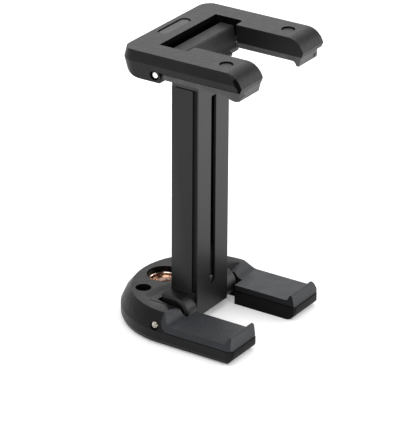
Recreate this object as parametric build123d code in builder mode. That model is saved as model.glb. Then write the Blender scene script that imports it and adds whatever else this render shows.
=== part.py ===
from build123d import *
import os
from math import asin, atan, cos, degrees, pi, radians, sin, sqrt, tan

# Folding spring clamp that holds a phone upright on a tripod.
# Millimetres. +Z is up, -Y is the way both jaws reach, +X is to the clamp's right.
# The origin is on the tripod thread's axis, at the underside. The clamp is unfolded and closed.

# Stem: a channel closed by a slotted front plate, with the slider inside
stem_width = 11.8
stem_depth = 6.6
thread_to_back = 7.6             # from the thread's axis to the back of the base
stem_bottom = 1.9                # lower edge of the front plate above the table
plate_thickness = 0.6
channel_side_wall = 1.1
channel_back_wall = 0.8
collar_height = 3.4
slot_width = 1.8
slot_bottom = 8.0
slot_length = 42.8
side_groove_width = 1.25
side_groove_depth = 0.6
side_panel_depth = 0.2
panel_head_groove = 0.3          # height of the groove under the collar
panel_head_groove_stop = 1.0     # where it ends before the stem's back
plate_side_lip = 0.2             # what is left of the plate in front of the side groove
plate_edge_break = 0.12
slot_head_round = 0.3
edge_break = 0.25
cut_margin = 2.0                 # how far a cut runs past the surface that it opens

# Clamp: the closed gap between the rubber faces, and how far the slider pulls out
grip_gap = 54.4
travel = 37.0

# Base, the lower jaw: round behind, two arms in front
base_width = 34.8
base_height = 6.7
base_reach = 16.0                # arm ends ahead of the stem's front face
base_wall_height = 3.1           # upright part of the side wall, and the seat of the rubber
base_top_inset = 2.2             # how far the side wall leans in from there to the top
base_wall_bulge = 0.2
base_bottom_round = 1.2
base_corner_round = 1.5
base_inner_corner_round = 0.8
base_gap = 15.0                  # clear width between the arms
base_end_lean = 0.3              # how far the arm ends lean back towards the table
base_end_round = 2.3             # their lower edge
base_dish_margin = 1.6           # dish round the hinge: beside and behind the pocket
base_dish_behind = 2.6
base_dish_depth = 0.2
base_dish_round = 2.0
base_rim = 2.2                   # flat rim left round the thread insert
scoop_rise = 0.29                # slope of the scooped pocket edges, outwards
scoop_fall = 0.148               # and forwards
foot_side_gap = 0.9              # each side of the foot in its pocket, but for the bosses
hinge_side_gap = 0.5             # each side of a hinge block in its pocket
hinge_front_gap = 0.8
hinge_back_gap = 0.3

# Tripod thread insert: 1/4 inch thread, drawn at its minor diameter
thread_minor_radius = 2.55
insert_radius = 3.8
insert_flange_radius = 5.0
insert_flange_thickness = 0.8
insert_below_top = 1.2
insert_mouth = 0.55
insert_groove_depth = 0.35
insert_wall = 1.5                # between the insert and the hinge pocket
anti_twist_radius = 1.7
anti_twist_spacing = 15.9

# Hinges
foot_width = 19.4
foot_end_chamfer = 0.45
foot_boss_radius = 1.5
foot_boss_height = 0.65
head_width = 19.8
pin_radius = 0.75
pin_running_clearance = 0.05
pin_recess = 0.5
pin_mouth_radius = 1.05
pin_mouth_depth = 0.8
lower_pin_height = 4.05
seat_clearance = 0.01            # round pieces seated in their own body

# Lower rubber grips
lower_grip_face = 4.5            # height of the rubber face above the table
lower_lip_height = 1.3
lower_lip_width = 0.55
lower_lip_slope = 0.55
lower_riser_radius = 1.7
lower_grip_setback = 0.3         # rubber's front end behind the arm's
lower_grip_back = 2.0            # rubber's rear edge behind the stem's front face
lower_grip_back_land = 1.0       # upright part of its rear face, above the round
seam_gap = 0.2

# Upper jaw: a U with bevelled sides that pivots on the slider's head
jaw_width = 32.6                 # at the crease half way up its side
jaw_height_above_grip = 4.9
jaw_crease_below_top = 2.1
jaw_bevel = 0.5                  # how far the top edge lies inside the crease
jaw_lower_bevel_angle = 13.0
jaw_reach = 16.5                 # the noses of the arms ahead of the stem's front face
jaw_back = 12.7                  # at the crease, behind the stem's front face
jaw_back_corner_round = 3.6
jaw_back_bottom_round = 5.0
jaw_end_round = 3.96             # from the top down to the nose
jaw_nose_height = 0.95           # nose above the arm's underside
jaw_nose_lean = 0.35             # how far the end leans back below the nose
jaw_side_chamfer = 0.75          # cut in all round the side view towards both outer faces
jaw_arm_thickness = 3.8
jaw_bar_depth = 6.0              # thickness of the rear part, top to underside
jaw_bar_front = 2.5              # where the deep rear part starts behind the stem's front face
jaw_gap = 15.2                   # clear width between the arms
jaw_pocket_front = -0.3          # front and back of the wide cut-out, behind the stem's front face
jaw_pocket_back = 6.45
jaw_pocket_step_round = 0.8
upper_pin_above_grip = 0.4
upper_pin_behind_front = 4.2
mark_radius = 1.45               # round plugs that hold the upper grips
mark_from_side = 4.65            # centre of a plug inside the jaw's crease
mark_ahead = 10.4
mark_recess = 0.3
inlay_length = 10.2
inlay_width = 2.5
inlay_behind = 9.8
inlay_thickness = 0.3
inlay_recess = 0.18
inlay_gap = 0.06

# Upper rubber grips
upper_lip_height = 0.95
upper_lip_width = 0.6
upper_lip_fillet = 0.9
upper_grip_setback = 0.45
upper_lip_slope = 0.5
upper_lip_return = 2.6           # length over which the lip fades round the outer corner
upper_grip_corner_round = 2.4
upper_grip_side_inset = 0.15
upper_grip_back = 2.0
upper_grip_nose_round = 0.5

# Slider: head, bar, shoe and peg
head_top_above_pin = 3.0
head_slab_front = 2.2            # ahead of the pin
head_slab_back = 1.0             # behind the pin
head_bottom_below_pin = 2.1
head_ledge_height = 0.45
head_ledge_rise = 1.65
head_ledge_depth = 1.5
head_tongue_width = 13.8
head_shoulder_setback = 0.7
head_scoop_depth = 0.9
head_scoop_margin = 1.3          # solid left beside the scoop at each end
head_edge_round = 0.3
socket_clearance = 0.3
bar_web = 0.6
bar_flange = 0.8
bar_tang_length = 1.2            # tang half length about the upper pin
shoe_wall = 0.6
slide_clearance = 0.15
shoe_floor_clearance = 0.4
stop_clearance = 0.2
peg_radius = 0.75
peg_above_slot_bottom = 0.9
peg_below_face = 0.12

# Return spring and its two pins
spring_wire = 0.35
spring_mean_radius = 1.1
spring_turns = 20
spring_steps = 6                 # straight steps in each turn
spring_pin_radius = 0.5
lower_spring_pin_height = 6.1
upper_spring_pin_below_collar_top = 1.6
spring_coil_from_pin = 2.2
spring_pocket_width = 3.6
spring_pocket_floor = 5.2

# Places that follow from the sizes above
stem_front = -insert_radius - insert_wall - hinge_back_gap - stem_depth
stem_back = stem_front + stem_depth
knuckle_radius = stem_depth / 2
lower_pin_y = stem_front + knuckle_radius
foot_top = lower_pin_height + knuckle_radius
upper_grip_face = lower_grip_face + grip_gap
upper_pin_z = upper_grip_face + upper_pin_above_grip
upper_pin_y = stem_front + upper_pin_behind_front
head_bottom = upper_pin_z - head_bottom_below_pin
collar_top = head_bottom - stop_clearance - slide_clearance
collar_bottom = collar_top - collar_height
jaw_top = upper_grip_face + jaw_height_above_grip
jaw_crease = jaw_top - jaw_crease_below_top
jaw_arm_bottom = jaw_top - jaw_arm_thickness
jaw_bottom = jaw_top - jaw_bar_depth
jaw_end_y = stem_front - jaw_reach
jaw_back_y = stem_front + jaw_back
base_half = base_width / 2
base_centre_y = thread_to_back - base_half
base_end_y = stem_front - base_reach
pocket_half = foot_width / 2 + foot_side_gap
pocket_front_y = stem_front - hinge_front_gap
pocket_back_y = lower_pin_y + knuckle_radius + hinge_back_gap
jaw_pocket_half = head_width / 2 + hinge_side_gap
mark_spacing = jaw_width - 2 * mark_from_side
insert_top = base_height - insert_below_top
lower_grip_back_round = base_height - base_wall_height - lower_grip_back_land
pin_bore = pin_radius + pin_running_clearance
cavity_half = stem_width / 2 - channel_side_wall
cavity_front_y = stem_front + plate_thickness
cavity_back_y = stem_back - channel_back_wall
cavity_depth = cavity_back_y - cavity_front_y
shoe_half = cavity_half - slide_clearance
shoe_depth = cavity_depth - 2 * slide_clearance
bar_half = shoe_half - shoe_wall
bar_depth = shoe_depth - 2 * shoe_wall
bar_front_y = cavity_front_y + slide_clearance + shoe_wall
bar_back_y = bar_front_y + bar_depth
cavity_mid_y = (cavity_front_y + cavity_back_y) / 2
slider_bottom = foot_top + shoe_floor_clearance
shoe_top = collar_bottom - stop_clearance - travel
peg_z = slot_bottom + peg_above_slot_bottom
spring_y = (bar_front_y + bar_web + bar_back_y) / 2
upper_spring_pin_z = collar_top - upper_spring_pin_below_collar_top
socket_radius = sqrt(head_slab_front**2 + head_top_above_pin**2) + socket_clearance

os.makedirs("parts", exist_ok=True)


def corner(sketch, across, up):
    """The sketch's corner nearest to a point of its own plane."""
    return sketch.vertices().sort_by_distance((across, up))[0]


def x_axis_at(y, z):
    """A plane square to X through a point, so that circles on it are pins along X."""
    return Plane(origin=(0, y, z), x_dir=(0, 1, 0), z_dir=(1, 0, 0))


def level(z):
    """A horizontal plane at a height."""
    return Plane.XY.offset(z)


def finish(piece, name):
    """Labels a piece and writes it under its own name."""
    piece.part.label = name
    export_step(piece.part, f"parts/{name}.step")


# Base

with BuildPart() as base_form:
    # Half of the side wall's section, from the eased bottom edge to the leaning, slightly convex top
    base_ease = base_bottom_round * (1 - sqrt(0.5))
    base_wall_middle = (base_wall_height + base_height) / 2
    with BuildSketch(Plane.XZ.offset(-base_centre_y)) as base_section:
        with BuildLine():
            Polyline(
                (0, 0),
                (base_half - base_bottom_round, 0),
                (base_half - base_ease, base_ease),
                (base_half, base_bottom_round),
                (base_half, base_wall_height),
                (base_half - base_top_inset / 2 + base_wall_bulge, base_wall_middle + base_wall_bulge),
                (base_half - base_top_inset, base_height),
                (0, base_height),
                close=True,
            )
        make_face()
    revolve(axis=Axis((0, base_centre_y, 0), (0, 0, 1)), revolution_arc=180)
    with BuildSketch(Plane.XZ.offset(-base_centre_y)):
        add(base_section.sketch_local)
        mirror(about=Plane.YZ)
    extrude(amount=base_centre_y - base_end_y)
    # Plan with the gap between the arms and rounded arm ends
    with BuildSketch(Plane.XY) as base_plan:
        with BuildLine():
            Polyline(
                (-base_half, base_end_y),
                (-base_gap / 2, base_end_y),
                (-base_gap / 2, pocket_front_y),
                (base_gap / 2, pocket_front_y),
                (base_gap / 2, base_end_y),
                (base_half, base_end_y),
                (base_half, base_centre_y + base_width),
                (-base_half, base_centre_y + base_width),
                close=True,
            )
        make_face()
        ends = base_plan.vertices().group_by(Axis.Y)[0].sort_by(Axis.X)
        fillet([ends[0], ends[-1]], base_corner_round)
        for side in (-1, 1):
            fillet(corner(base_plan, side * base_gap / 2, base_end_y), base_inner_corner_round)
    extrude(amount=base_height, mode=Mode.INTERSECT)
    # Arm ends lean back from the rubber's seat down to a rounded lower edge
    with BuildSketch(Plane.YZ) as base_side:
        with BuildLine():
            Polyline(
                (base_end_y + base_end_lean, 0),
                (base_centre_y + base_width, 0),
                (base_centre_y + base_width, base_height),
                (base_end_y, base_height),
                (base_end_y, base_wall_height),
                close=True,
            )
        make_face()
        fillet(corner(base_side, base_end_y + base_end_lean, 0), base_end_round)
    extrude(amount=base_half, both=True, mode=Mode.INTERSECT)

with BuildPart() as foot_pocket:
    with BuildSketch(Plane.XY):
        with Locations((0, (pocket_front_y + pocket_back_y) / 2)):
            Rectangle(2 * pocket_half, pocket_back_y - pocket_front_y)
    extrude(amount=base_height)

# Scoop along the right edge of the pocket, deeper and wider towards the front
scoop_floor = Plane(
    origin=(pocket_half, pocket_back_y, base_height - base_dish_depth),
    x_dir=(1, 0, scoop_rise),
    z_dir=(-scoop_rise, -scoop_fall, 1),
)
with BuildPart() as pocket_scoop:
    with BuildSketch(scoop_floor):
        Rectangle(base_height, 2 * base_height, align=(Align.CENTER, Align.CENTER))
    extrude(amount=base_height / 2)
    with BuildSketch(level(0)):
        with Locations((pocket_half - hinge_side_gap, pocket_back_y)):
            Rectangle(base_height, base_height, align=(Align.MIN, Align.MAX))
    extrude(amount=base_width, mode=Mode.INTERSECT)

with BuildPart() as base_housing:
    add(base_form.part)
    # Seat of the rubber: everything above the arms up to its rounded rear edge
    grip_back_y = stem_front + lower_grip_back
    with BuildSketch(Plane.YZ) as seat:
        with BuildLine():
            Polyline(
                (base_end_y, base_wall_height),
                (grip_back_y, base_wall_height),
                (grip_back_y, base_height),
                (base_end_y, base_height),
                close=True,
            )
        make_face()
        fillet(corner(seat, grip_back_y, base_wall_height), lower_grip_back_round)
    extrude(amount=base_half, both=True, mode=Mode.SUBTRACT)
    # Shallow dish round the hinge, short of the insert's rim
    with BuildSketch(level(base_height)) as dish:
        with Locations((0, pocket_back_y + base_dish_behind)):
            Rectangle(2 * (pocket_half + base_dish_margin), base_width, align=(Align.CENTER, Align.MAX))
        fillet(dish.vertices().group_by(Axis.Y)[-1], base_dish_round)
        Circle(insert_radius + base_rim, mode=Mode.SUBTRACT)
    extrude(amount=-base_dish_depth, mode=Mode.SUBTRACT)
    add(pocket_scoop.part, mode=Mode.SUBTRACT)
    mirror(pocket_scoop.part, about=Plane.YZ, mode=Mode.SUBTRACT)
    add(foot_pocket.part, mode=Mode.SUBTRACT)
    # Stepped seat of the thread insert, open at the top
    with BuildSketch(Plane.XY):
        Circle(insert_flange_radius + seat_clearance)
    extrude(amount=insert_flange_thickness + seat_clearance, mode=Mode.SUBTRACT)
    with BuildSketch(Plane.XY):
        Circle(insert_radius + seat_clearance)
    extrude(amount=base_height, mode=Mode.SUBTRACT)
    # Anti-twist holes beside the thread
    with BuildSketch(Plane.XY):
        with GridLocations(anti_twist_spacing, 1, 2, 1):
            Circle(anti_twist_radius)
    extrude(amount=base_height, mode=Mode.SUBTRACT)
    # Pin bore through both cheeks, wider at its mouths
    with BuildSketch(x_axis_at(lower_pin_y, lower_pin_height)):
        Circle(pin_radius + seat_clearance)
    extrude(amount=base_half, both=True, mode=Mode.SUBTRACT)
    for side in (-1, 1):
        with BuildSketch(x_axis_at(lower_pin_y, lower_pin_height).offset(side * base_half)):
            Circle(pin_mouth_radius)
        extrude(amount=-side * pin_mouth_depth, mode=Mode.SUBTRACT)
finish(base_housing, "base_housing")

with BuildPart() as thread_insert:
    # Flange flush with the underside, a groove that locks it in, a threaded bore with a bevelled mouth
    with BuildSketch(Plane.XZ):
        with BuildLine():
            Polyline(
                (thread_minor_radius, 0),
                (insert_flange_radius, 0),
                (insert_flange_radius, insert_flange_thickness),
                (insert_radius, insert_flange_thickness),
                (insert_radius, insert_top / 2 - insert_groove_depth),
                (insert_radius - insert_groove_depth, insert_top / 2),
                (insert_radius - insert_groove_depth, insert_top / 2 + insert_groove_depth),
                (insert_radius, insert_top / 2 + 2 * insert_groove_depth),
                (insert_radius, insert_top),
                (thread_minor_radius + insert_mouth, insert_top),
                (thread_minor_radius, insert_top - insert_mouth),
                close=True,
            )
        make_face()
    revolve(axis=Axis.Z)
finish(thread_insert, "thread_insert")

with BuildPart() as lower_grip_right:
    add(base_form.part)
    # Side view of the rubber: flat face, lip in front, ramp up to the base behind
    lip_top = lower_grip_face + lower_lip_height
    grip_end_y = base_end_y + lower_grip_setback
    lip_root = grip_end_y + lower_lip_slope + lower_lip_width + lower_lip_height / 2
    riser_foot_y = grip_back_y - lower_riser_radius
    with BuildSketch(Plane.YZ) as lower_grip_side:
        with BuildLine():
            Polyline(
                (grip_end_y, base_wall_height),
                (grip_end_y + lower_lip_slope, lip_top),
                (grip_end_y + lower_lip_slope + lower_lip_width, lip_top),
                (lip_root, lower_grip_face),
                (riser_foot_y, lower_grip_face),
                (grip_back_y - edge_break, base_height),
                (grip_back_y, base_height),
                (grip_back_y, base_wall_height),
                close=True,
            )
        make_face()
        fillet(corner(lower_grip_side, lip_root, lower_grip_face), lower_lip_height / 2)
        fillet(corner(lower_grip_side, grip_end_y + lower_lip_slope, lip_top), lower_lip_width * 0.8)
        fillet(corner(lower_grip_side, riser_foot_y, lower_grip_face), lower_riser_radius)
        fillet(corner(lower_grip_side, grip_back_y, base_wall_height), lower_grip_back_round)
    extrude(amount=base_half, mode=Mode.INTERSECT)
    add(pocket_scoop.part, mode=Mode.SUBTRACT)
    add(foot_pocket.part, mode=Mode.SUBTRACT)
    # Shadow line where the rubber meets the hard arm
    with BuildSketch(level(base_wall_height)):
        add(base_plan.sketch_local)
        offset(base_plan.sketch_local, amount=-seam_gap, mode=Mode.SUBTRACT)
    extrude(amount=seam_gap, mode=Mode.SUBTRACT)
finish(lower_grip_right, "lower_grip_right")

with BuildPart() as lower_grip_left:
    mirror(lower_grip_right.part, about=Plane.YZ)
finish(lower_grip_left, "lower_grip_left")

with BuildPart() as lower_hinge_pin:
    with BuildSketch(x_axis_at(lower_pin_y, lower_pin_height)):
        Circle(pin_radius)
    extrude(amount=base_half - pin_recess, both=True)
    chamfer(lower_hinge_pin.edges().filter_by(GeomType.CIRCLE), pin_radius / 5)
finish(lower_hinge_pin, "lower_hinge_pin")

# Stem

with BuildPart() as side_grooves:
    # Groove up each side behind a thin lip of the front plate, and across under the collar
    with BuildSketch(level(foot_top + edge_break)):
        with Locations((0, stem_front + plate_side_lip + side_groove_width / 2)):
            with GridLocations(stem_width, 1, 2, 1):
                Rectangle(2 * side_groove_depth, side_groove_width)
    extrude(amount=collar_bottom - foot_top - edge_break)
    with BuildSketch(level(collar_bottom - panel_head_groove)):
        head_groove_length = stem_depth - plate_side_lip - panel_head_groove_stop
        with Locations((0, stem_front + plate_side_lip + head_groove_length / 2)):
            with GridLocations(stem_width, 1, 2, 1):
                Rectangle(2 * side_groove_depth, head_groove_length)
    extrude(amount=panel_head_groove)

with BuildPart() as stem_body:
    # Hinge foot: round about the pin, square only at the back of its top
    with BuildSketch(x_axis_at(lower_pin_y, lower_pin_height)):
        Circle(knuckle_radius)
        Rectangle(knuckle_radius, knuckle_radius, align=(Align.MIN, Align.MIN))
    extrude(amount=foot_width / 2, both=True)
    foot_ends = stem_body.faces().filter_by(Axis.X)
    chamfer(foot_ends.edges(), foot_end_chamfer)
    # Bosses that keep the foot centred between the cheeks
    with BuildSketch(x_axis_at(lower_pin_y, lower_pin_height)):
        Circle(foot_boss_radius)
    extrude(amount=foot_width / 2 + foot_boss_height, both=True)
    # Middle of the foot, between the pin and the front plate, and the channel above it
    with BuildSketch(Plane.YZ):
        with Locations((cavity_front_y, stem_bottom)):
            Rectangle(stem_depth / 2, foot_top - stem_bottom, align=(Align.MIN, Align.MIN))
        with Locations((cavity_front_y, foot_top)):
            Rectangle(stem_back - cavity_front_y, collar_bottom - foot_top, align=(Align.MIN, Align.MIN))
    extrude(amount=stem_width / 2, both=True)
    # Room for the front plate's lower end in the round of the foot
    with BuildSketch(level(0)):
        with Locations((0, stem_front)):
            Rectangle(stem_width, 2 * plate_thickness)
    extrude(amount=foot_top, mode=Mode.SUBTRACT)
    # Cavity for the slider
    with BuildSketch(level(foot_top)):
        with Locations((0, cavity_mid_y)):
            Rectangle(2 * cavity_half, cavity_depth)
    extrude(amount=collar_bottom - foot_top, mode=Mode.SUBTRACT)
    # Side panels let in a little, behind the side grooves
    with BuildSketch(level(foot_top + edge_break)):
        with Locations((-stem_width / 2, cavity_front_y), (stem_width / 2, cavity_front_y)):
            Rectangle(2 * side_panel_depth, stem_depth, align=(Align.CENTER, Align.MIN))
    extrude(amount=collar_bottom - foot_top - edge_break, mode=Mode.SUBTRACT)
    add(side_grooves.part, mode=Mode.SUBTRACT)
    # Pocket for the spring's lower hook, and the bore of the pin that holds it
    with BuildSketch(level(spring_pocket_floor)):
        with Locations((0, spring_y)):
            Rectangle(spring_pocket_width, 2 * (spring_mean_radius + spring_wire))
    extrude(amount=foot_top - spring_pocket_floor, mode=Mode.SUBTRACT)
    with BuildSketch(Plane.XZ.offset(-stem_back)):
        with Locations((0, lower_spring_pin_height)):
            Circle(spring_pin_radius + seat_clearance)
    extrude(amount=stem_back - cavity_front_y - plate_thickness, mode=Mode.SUBTRACT)
    # Hinge bore
    with BuildSketch(x_axis_at(lower_pin_y, lower_pin_height)):
        Circle(pin_bore)
    extrude(amount=foot_width, both=True, mode=Mode.SUBTRACT)
finish(stem_body, "stem_body")

with BuildPart() as front_plate:
    with BuildSketch(Plane.XZ.offset(-cavity_front_y)):
        with Locations((0, stem_bottom)):
            Rectangle(stem_width, collar_top - stem_bottom, align=(Align.CENTER, Align.MIN))
    extrude(amount=plate_thickness)
    front_face = front_plate.faces().sort_by(Axis.Y)[0]
    chamfer(front_face.edges(), plate_edge_break)
    add(side_grooves.part, mode=Mode.SUBTRACT)
    # Slot, round at its foot and nearly square at its head
    with BuildSketch(Plane.XZ.offset(-cavity_front_y)) as slot:
        with Locations((0, slot_bottom + slot_width / 2)):
            Rectangle(slot_width, slot_length - slot_width / 2, align=(Align.CENTER, Align.MIN))
        fillet(slot.vertices().group_by(Axis.Y)[-1], slot_head_round)
        with Locations((0, slot_bottom + slot_width / 2)):
            Circle(slot_width / 2)
    extrude(amount=plate_thickness, mode=Mode.SUBTRACT)
finish(front_plate, "front_plate")

with BuildPart() as stem_collar:
    with BuildSketch(level(collar_bottom)):
        with Locations((0, (cavity_front_y + stem_back) / 2)):
            Rectangle(stem_width, stem_back - cavity_front_y)
        with Locations((0, cavity_mid_y)):
            Rectangle(2 * (bar_half + slide_clearance), bar_depth + 2 * slide_clearance, mode=Mode.SUBTRACT)
    extrude(amount=collar_height)
    chamfer(stem_collar.edges().filter_by(Axis.Z).sort_by(Axis.Y)[-2:], edge_break)
finish(stem_collar, "stem_collar")

with BuildPart() as lower_spring_pin:
    with BuildSketch(Plane.XZ.offset(-stem_back)):
        with Locations((0, lower_spring_pin_height)):
            Circle(spring_pin_radius)
    extrude(amount=stem_back - cavity_front_y - plate_thickness)
finish(lower_spring_pin, "lower_spring_pin")

# Slider

# Outline of the tangs that go up from the bar into the head and hang on the upper hinge pin
with BuildSketch() as tang:
    Circle(bar_tang_length)
    Rectangle(2 * bar_tang_length, head_bottom_below_pin, align=(Align.CENTER, Align.MAX))
    Circle(pin_bore, mode=Mode.SUBTRACT)

with BuildPart() as slider_bar:
    with BuildSketch(level(slider_bottom)):
        with Locations((0, cavity_mid_y)):
            Rectangle(2 * bar_half, bar_depth)
        with Locations((0, bar_front_y + bar_web)):
            Rectangle(
                2 * (bar_half - bar_flange), bar_depth, align=(Align.CENTER, Align.MIN), mode=Mode.SUBTRACT
            )
    extrude(amount=head_bottom - slider_bottom)
    for side in (-1, 1):
        with BuildSketch(x_axis_at(upper_pin_y, upper_pin_z).offset(side * bar_half)):
            add(tang.sketch_local)
        extrude(amount=-side * bar_flange)
    # Holes for the guide peg and the spring's upper pin
    with BuildSketch(Plane.XZ.offset(-bar_front_y)):
        with Locations((0, peg_z)):
            Circle(peg_radius + seat_clearance)
    extrude(amount=-bar_web, mode=Mode.SUBTRACT)
    with BuildSketch(x_axis_at(spring_y, upper_spring_pin_z)):
        Circle(spring_pin_radius + seat_clearance)
    extrude(amount=bar_half, both=True, mode=Mode.SUBTRACT)
finish(slider_bar, "slider_bar")

with BuildPart() as slider_head:
    # Side view about the upper pin: flat slab on top, round behind, ledge and scoop in front
    ledge_front = -upper_pin_behind_front
    back_round = sqrt(head_slab_back**2 + head_top_above_pin**2)
    head_back = sqrt(back_round**2 - head_bottom_below_pin**2)
    with BuildSketch(x_axis_at(upper_pin_y, upper_pin_z)):
        with BuildLine():
            under = Line((head_back, -head_bottom_below_pin), (ledge_front, -head_bottom_below_pin))
            nose = Line(under @ 1, (ledge_front, head_ledge_height - head_bottom_below_pin))
            ledge_top = (
                ledge_front + head_ledge_depth,
                head_ledge_height + head_ledge_rise - head_bottom_below_pin,
            )
            slope = SagittaArc(nose @ 1, ledge_top, -edge_break)
            face = Line(slope @ 1, (-head_slab_front, head_top_above_pin - head_edge_round))
            top_edge = Line(face @ 1, (-head_slab_front + head_edge_round, head_top_above_pin))
            slab = Line(top_edge @ 1, (head_slab_back, head_top_above_pin))
            ThreePointArc(slab @ 1, (back_round, 0), under @ 0)
        make_face()
    extrude(amount=head_width / 2, both=True)
    # Shoulders set back beside the tongue, so that the jaw can fold past them
    with BuildSketch(level(head_bottom)):
        for side, inner_edge in ((-1, Align.MAX), (1, Align.MIN)):
            with Locations((side * head_tongue_width / 2, stem_front)):
                Rectangle(head_width, 2 * head_shoulder_setback, align=(inner_edge, Align.CENTER))
    extrude(amount=head_top_above_pin + head_bottom_below_pin, mode=Mode.SUBTRACT)
    # Scoop under the slab, round at both ends
    scoop_low = ledge_top[1]
    scoop_high = head_top_above_pin - 2 * head_edge_round
    with BuildSketch(x_axis_at(upper_pin_y, upper_pin_z)):
        with BuildLine():
            hollow = SagittaArc((-head_slab_front, scoop_high), ledge_top, -head_scoop_depth)
            Polyline(
                hollow @ 1,
                (ledge_front - cut_margin, scoop_low),
                (ledge_front - cut_margin, scoop_high),
                hollow @ 0,
            )
        make_face()
    extrude(amount=head_width / 2 - head_scoop_margin, both=True, mode=Mode.SUBTRACT)
    # Pockets for the bar's tangs, then the hinge bore through everything
    tang_pocket_radius = bar_tang_length + seat_clearance
    for side in (-1, 1):
        with BuildSketch(x_axis_at(upper_pin_y, upper_pin_z).offset(side * (bar_half + seat_clearance))):
            Circle(tang_pocket_radius)
            Rectangle(2 * tang_pocket_radius, head_bottom_below_pin, align=(Align.CENTER, Align.MAX))
        extrude(amount=-side * (bar_flange + 2 * seat_clearance), mode=Mode.SUBTRACT)
    with BuildSketch(x_axis_at(upper_pin_y, upper_pin_z)):
        Circle(pin_bore)
    extrude(amount=head_width, both=True, mode=Mode.SUBTRACT)
finish(slider_head, "slider_head")

with BuildPart() as guide_shoe:
    with BuildSketch(level(slider_bottom)):
        with Locations((0, cavity_mid_y)):
            Rectangle(2 * shoe_half, shoe_depth)
            Rectangle(2 * bar_half, bar_depth, mode=Mode.SUBTRACT)
    extrude(amount=shoe_top - slider_bottom)
    chamfer(guide_shoe.faces().filter_by(Axis.Z).sort_by(Axis.Z)[-1].outer_wire().edges(), edge_break)
    with BuildSketch(Plane.XZ.offset(-bar_front_y)):
        with Locations((0, peg_z)):
            Circle(peg_radius + seat_clearance)
    extrude(amount=shoe_wall, mode=Mode.SUBTRACT)
finish(guide_shoe, "guide_shoe")

with BuildPart() as guide_peg:
    with BuildSketch(Plane.XZ.offset(-(bar_front_y + bar_web))):
        with Locations((0, peg_z)):
            Circle(peg_radius)
    extrude(amount=bar_front_y + bar_web - stem_front - peg_below_face)
    chamfer(guide_peg.edges().filter_by(GeomType.CIRCLE).sort_by(Axis.Y)[0], peg_radius / 3)
finish(guide_peg, "guide_peg")

with BuildPart() as upper_spring_pin:
    with BuildSketch(x_axis_at(spring_y, upper_spring_pin_z)):
        Circle(spring_pin_radius)
    extrude(amount=bar_half, both=True)
finish(upper_spring_pin, "upper_spring_pin")

with BuildPart() as return_spring:
    # Open coil between the two pins, each turn made of short straight steps
    coil_low = lower_spring_pin_height + spring_coil_from_pin
    coil_rise = (upper_spring_pin_z - spring_coil_from_pin - coil_low) / (spring_turns * spring_steps)
    coil_run = 2 * pi * spring_mean_radius / spring_steps
    for step in range(spring_turns * spring_steps + 1):
        turned = 2 * pi * step / spring_steps
        outward = Vector(cos(turned), sin(turned), 0)
        along = Vector(-sin(turned) * coil_run, cos(turned) * coil_run, coil_rise)
        wire_centre = Vector(0, spring_y, coil_low + step * coil_rise) + outward * spring_mean_radius
        with BuildSketch(Plane(origin=wire_centre, x_dir=outward, z_dir=along)):
            RegularPolygon(spring_wire / 2, 4)
    loft(ruled=True)
finish(return_spring, "return_spring")

# Upper jaw

with BuildPart() as jaw_envelope:
    # Side view: rounded arm ends, thin arms, deep rear part with a round lower edge
    with BuildSketch(Plane.YZ) as jaw_side:
        nose_angle = asin((jaw_arm_bottom + jaw_nose_height - jaw_top) / jaw_end_round + 1)
        end_centre_y = jaw_end_y + jaw_end_round * cos(nose_angle)
        with BuildLine():
            end_curve = CenterArc(
                (end_centre_y, jaw_top - jaw_end_round), jaw_end_round, 90, 90 - degrees(nose_angle)
            )
            Polyline(
                end_curve @ 1,
                (jaw_end_y + jaw_nose_lean, jaw_arm_bottom),
                (stem_front + jaw_bar_front, jaw_arm_bottom),
                (stem_front + jaw_bar_front, jaw_bottom),
                (jaw_back_y, jaw_bottom),
                (jaw_back_y, jaw_top),
                end_curve @ 0,
            )
        make_face()
        fillet(corner(jaw_side, jaw_back_y, jaw_bottom), jaw_back_bottom_round)
        fillet(corner(jaw_side, stem_front + jaw_bar_front, jaw_bottom), jaw_pocket_step_round)
    extrude(amount=jaw_width / 2 - jaw_side_chamfer, both=True)
    envelope_sides = jaw_envelope.faces().filter_by(Axis.X).sort_by(Axis.X)
    extrude(envelope_sides[0], amount=jaw_side_chamfer, taper=45)
    extrude(envelope_sides[-1], amount=jaw_side_chamfer, taper=45)

with BuildPart() as jaw_form:
    # Bevelled both ways from the crease
    with BuildSketch(level(jaw_crease)) as jaw_outline:
        with BuildLine():
            Polyline(
                (-jaw_width / 2, jaw_end_y - jaw_width),
                (jaw_width / 2, jaw_end_y - jaw_width),
                (jaw_width / 2, jaw_back_y),
                (-jaw_width / 2, jaw_back_y),
                close=True,
            )
        make_face()
        fillet(jaw_outline.vertices().group_by(Axis.Y)[-1], jaw_back_corner_round)
    jaw_upper_bevel_angle = degrees(atan(jaw_bevel / jaw_crease_below_top))
    extrude(amount=2 * jaw_crease_below_top, taper=jaw_upper_bevel_angle)
    extrude(jaw_outline.sketch, amount=-jaw_bar_depth, taper=jaw_lower_bevel_angle)
    add(jaw_envelope.part, mode=Mode.INTERSECT)

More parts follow.
